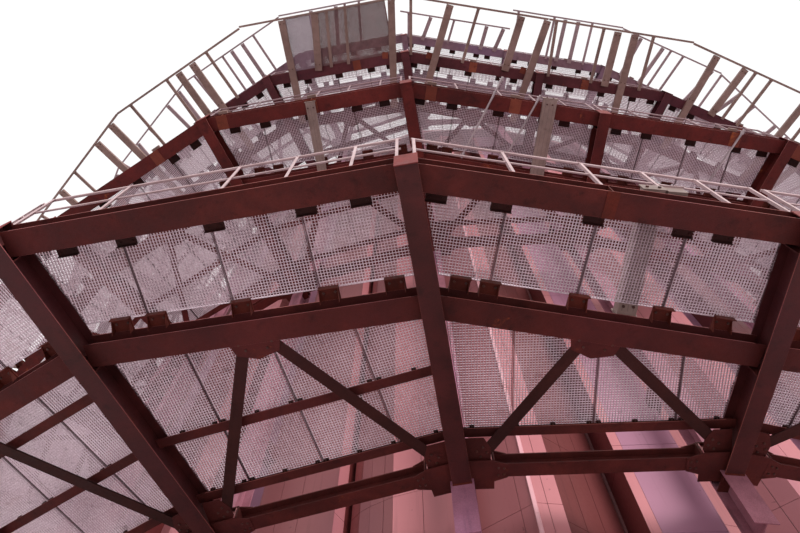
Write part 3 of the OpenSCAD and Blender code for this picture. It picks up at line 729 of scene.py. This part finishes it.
# ---------------------------------------------------------------- ends of the needle beams and tie rods
M = Mesh()
for h in (0, HALF):
    def loc(t, n, z, k=0.5):
        a = DA * (h + k)
        return v3(np.array([math.cos(a), math.sin(a)]) * t + np.array([math.sin(a), -math.cos(a)]) * n, z)
    for (t0, n0, t1, n1, z, w, hh, kk) in ((0.30, 15.02, 0.49, 16.56, Z0[0] + RING_TOP + DECK_T, 0.23, 0.15, 0.5), (0.64, 14.52, 0.90, 16.33, Z0[1] + 0.036, 0.30, 0.098, 0.5), (-0.22, 15.18, 0.11, 17.04, Z0[1] + 0.036, 0.20, 0.098, -0.5)):
        a, b = loc(t0, n0, z, kk), loc(t1, n1, z, kk)
        d = unit(b - a)
        e = np.cross(UP, d)
        for q, dd in ((a, -d), (b, d)):
            M.box(q + dd * 0.006 + UP * (hh / 2 + 0.01), np.cross(dd, UP) * (w / 2 + 0.02), dd * 0.006, UP * (hh / 2 + 0.012), 0)
            for x in (-0.07, 0.07):
                M.bolt(q + dd * 0.012 + np.cross(dd, UP) * x + UP * hh * 0.5, dd, 0.017, 0.014, 1)
            for x in (-0.06, 0.06):
                M.bolt(q - dd * 0.12 + e * x, -UP, 0.016, 0.013, 1)
        for x in (-1, 0, 1):
            M.box((a + b) / 2 + e * x * w * 0.3 - UP * 0.0015, d * (np.linalg.norm(b - a) / 2 - 0.06), e * 0.004, UP * 0.0015, 0)
    # box clamp beside the first needle beam's outer end
    q, d = loc(0.49, 16.56, Z0[0] + RING_TOP + DECK_T), unit(loc(0.49, 16.56, 0) - loc(0.30, 15.02, 0))
    e = np.cross(UP, d)
    M.box(q + e * 0.26 - d * 0.10 + UP * 0.09, d * 0.10, e * 0.11, UP * 0.09, 0)
    M.box(q + e * 0.26 - d * 0.10 + UP * 0.186, d * 0.12, e * 0.13, UP * 0.006, 2)
    for r0, r1 in (((0.47, 16.82), (0.24, 15.16)), ((0.66, 16.41), (0.48, 15.02)), ((1.74, 16.31), (1.67, 14.80))):
        a, b = v3(pol(r0[1], r0[0] + h), Z0[1] + 0.11), v3(pol(r1[1], r1[0] + h), Z0[1] + 0.11)
        d = unit(b - a)
        for q, dd in ((a, -d), (b, d)):
            M.bolt(q - dd * 0.10, dd, 0.034, 0.045, 3)
            M.bolt(q - dd * 0.02, dd, 0.030, 0.030, 3)
            ex = unit(np.cross(dd, UP))
            M.prism([[-0.05, -0.03], [0.05, -0.03], [0.05, 0.05], [0.0, 0.13], [-0.05, 0.05]], q - dd * 0.04, ex, UP, 0.012, 3)
M.make("beam_end_fittings", [M_PLATE, M_BOLT, M_RAIL, M_ROD], "grey_steel")

# ---------------------------------------------------------------- outrigger cleats and the net between them
FANS = [[(-1.98, -0.26, 0, 0.06), (-1.4, 0.39, 1, 1.65), (-0.33, 0.2, 0, 0.06), (1.06, 0.18, 1, 0.09), (1.64, 0.42, 1, 1.65)],
        [(-1.85, -0.11, 0, 0.06), (-0.45, 0, 0, 0.06), (0.01, 0, 1, 0.09), (0.56, 0, 1, 1.65), (1.15, 0, 0, 0.06)],
        [(-1.4, 0.06, 1, 1.65), (-0.53, 0.24, 1, 0.09), (-0.11, 0.19, 0, 0.06), (0.45, 0.22, 0, 0.06), (1.64, 0.48, 1, 1.65)]]
for t in (2, 3):
    M, W = Mesh(), Mesh()
    z = Z0[t]
    for k in range(BAYS):
        m, u, n, hl, a, b = bay_edge(k, t, True)
        l = FAN_SHORT if (t == 3 and k % HALF == 0) else FAN_OUT
        U, N = v3(u, 0), v3(n, 0)
        for f0, f1, wide, run in FANS[k % 3]:
            foot, tip = m + u * f0 + n * run, m + u * (f0 + f1 * l / FAN_OUT) - n * l
            d = unit(tip - foot)
            D, E = v3(d, 0), v3(left(d), 0)
            if t == 3:
                run = min(run, 0.09)
                foot = m + u * f0 + n * run
                d = unit(tip - foot)
                D, E = v3(d, 0), v3(left(d), 0)
            w = ((FAN_B, FAN_B4)[t - 2]) if wide else FAN_S
            # packer and bolts under the ring beam, end cleat at the rail
            c = foot + d * max(0.12, run * 0.2)
            if wide:
                M.box(v3(tip - d * 0.006, z + 0.091), D * 0.006, E * (w / 2 - 0.011), UP * 0.036, 0)
                for x in (-w * 0.27, w * 0.27):
                    M.bolt(v3(m + u * f0 + d * 0.10, z + 0.048) + E * x, -UP, 0.016, 0.013, 1)
                    M.bolt(v3(tip - d * 0.10, z + 0.048) + E * x, -UP, 0.014, 0.012, 1)
                M.box(v3(m + u * f0 + d * -0.0, z + 0.131), D * 0.10, E * w * 0.42, UP * 0.003, 2)
            else:
                M.box(v3(tip + d * 0.012, z + 0.100), D * 0.012, E * w * 0.62, UP * 0.034, 0)
                M.bolt(v3(tip - d * 0.05, z + 0.074), -UP, 0.012, 0.011, 1)
        # mesh panels between the ring beam and the edge rail: a clean one and a stained one
        if t == 2 and k % HALF == 11:
            for x0, x1, mm, wire in ((-1.28, -0.46, 0, 0.0085), (-0.40, 1.90, 1, 0.0098)):
                y0, y1 = 0.03, l + 0.02
                nx, ny = int((x1 - x0) / 0.028), int((y1 - y0) / 0.028)
                for i in range(nx + 1):
                    w = 0.016 if i in (0, nx) else wire
                    c = m + u * (x0 + (x1 - x0) * i / nx) - n * (y0 + y1) / 2
                    W.box(v3(c, z + 0.139), N * ((y1 - y0) / 2), -U * w, UP * 0.003, mm)
                for i in range(ny + 1):
                    w = 0.016 if i in (0, ny) else wire
                    c = m + u * (x0 + x1) / 2 - n * (y0 + (y1 - y0) * i / ny)
                    W.box(v3(c, z + 0.145), U * ((x1 - x0) / 2), N * w, UP * 0.003, mm)
    M.make(f"t{t + 1}_outrigger_fittings", [M_HAZE if t == 3 else M_OLIVE, M_BOLT, M_RUST], "olive_steel")
    if t == 2:
        W.make("t3_edge_mesh", [M_NET, M_NET_B], "galvanised_rod")

# ---------------------------------------------------------------- roof: capping on the kerb and seams on the slab
M = Mesh()
CAP_A = CORE_A + RELIEF + 0.14
for k in range(BAYS):
    a = DA * (k + 0.5)
    et, er = np.array([math.cos(a), math.sin(a)]), np.array([math.sin(a), -math.cos(a)])
    e0, e1 = (CAP_A + 0.03) * math.tan(DA / 2) - 0.006, (CAP_A - 0.23) * math.tan(DA / 2) - 0.006
    M.prism([[-e0, -CAP_A - 0.03], [e0, -CAP_A - 0.03], [e1, -CAP_A + 0.23], [-e1, -CAP_A + 0.23]], np.array([0, 0, ROOF_Z + 0.50]), v3(et, 0), v3(-er, 0), 0.012, 0)
    M.box(v3(er * (CAP_A + 0.024), ROOF_Z + 0.465), v3(et, 0) * e0, v3(-er, 0) * 0.004, UP * 0.035, 0)
    M.box(v3(er * (CAP_A - 0.10), ROOF_Z + 0.515), v3(et, 0) * 0.02, v3(-er, 0) * 0.13, UP * 0.004, 0)
    r0, r1 = 1.0, (CAP_A - 0.24)
    M.box(v3(er * (r0 + r1) / 2, ROOF_Z + 0.256), v3(-er, 0) * (r1 - r0) / 2, v3(-et, 0) * 0.02, UP * 0.008, 1)
    for rr in (3.2, 5.6, 8.0, 10.4):
        w = rr * math.tan(DA / 2)
        M.box(v3(er * rr, ROOF_Z + 0.252), v3(et, 0) * w, v3(-er, 0) * 0.05, UP * 0.003, 1)
M.make("roof_capping", [M_TRIM_AND_HIGHLIGHT, M_ROOF], "rib_metal")

# ---------------------------------------------------------------- camera, light, floor
cam = bpy.data.objects.new("view_camera", bpy.data.cameras.new("view_camera"))
bpy.context.scene.collection.objects.link(cam)
cam.data.lens, cam.data.sensor_width, cam.data.sensor_fit = 30.454, 36.0, "HORIZONTAL"
cam.data.clip_start, cam.data.clip_end = 0.05, 400.0
right = Vector((0.98475, 0.17400, 0.00172))
down = Vector((-0.15972, 0.90769, -0.38807))
fwd = Vector((-0.06908, 0.38187, 0.92163))
cam.matrix_world = Matrix.Translation((0.2526, -18.935, 1.6)) @ Matrix((right, -down, -fwd)).transposed().to_4x4()
bpy.context.scene.camera = cam

world = bpy.data.worlds.new("soft_studio")
bpy.context.scene.world = world
world.use_nodes = True
world.node_tree.nodes["Background"].inputs["Color"].default_value = (1.0, 0.985, 0.99, 1.0)
world.node_tree.nodes["Background"].inputs["Strength"].default_value = 1.05
bpy.context.scene.view_settings.view_transform = "Standard"

key = bpy.data.objects.new("key_sun", bpy.data.lights.new("key_sun", "SUN"))
bpy.context.scene.collection.objects.link(key)
key.data.energy, key.data.angle = 2.6, math.radians(35)
key.data.color = (1.0, 0.93, 0.90)
key.rotation_euler = (Vector((-0.60, 0.74, -0.32))).to_track_quat("-Z", "Y").to_euler()

M = Mesh()
M.box((0, 0, -0.06), (160, 0, 0), (0, 160, 0), (0, 0, 0.05))
fm = M.v[0]
me = bpy.data.meshes.new("floor")
me.from_pydata([tuple(x) for x in fm], [], [tuple(int(i) for i in f) for f in BOX_F])
floor = bpy.data.objects.new("floor", me)
bpy.context.scene.collection.objects.link(floor)
gf = Graph("pale_floor")
me.materials.append(gf.finish(gf.ramp(gf.noise(0.25, 3.0), [(0.3, lin(218, 213, 213)), (0.7, lin(222, 217, 217))]), 0.9))
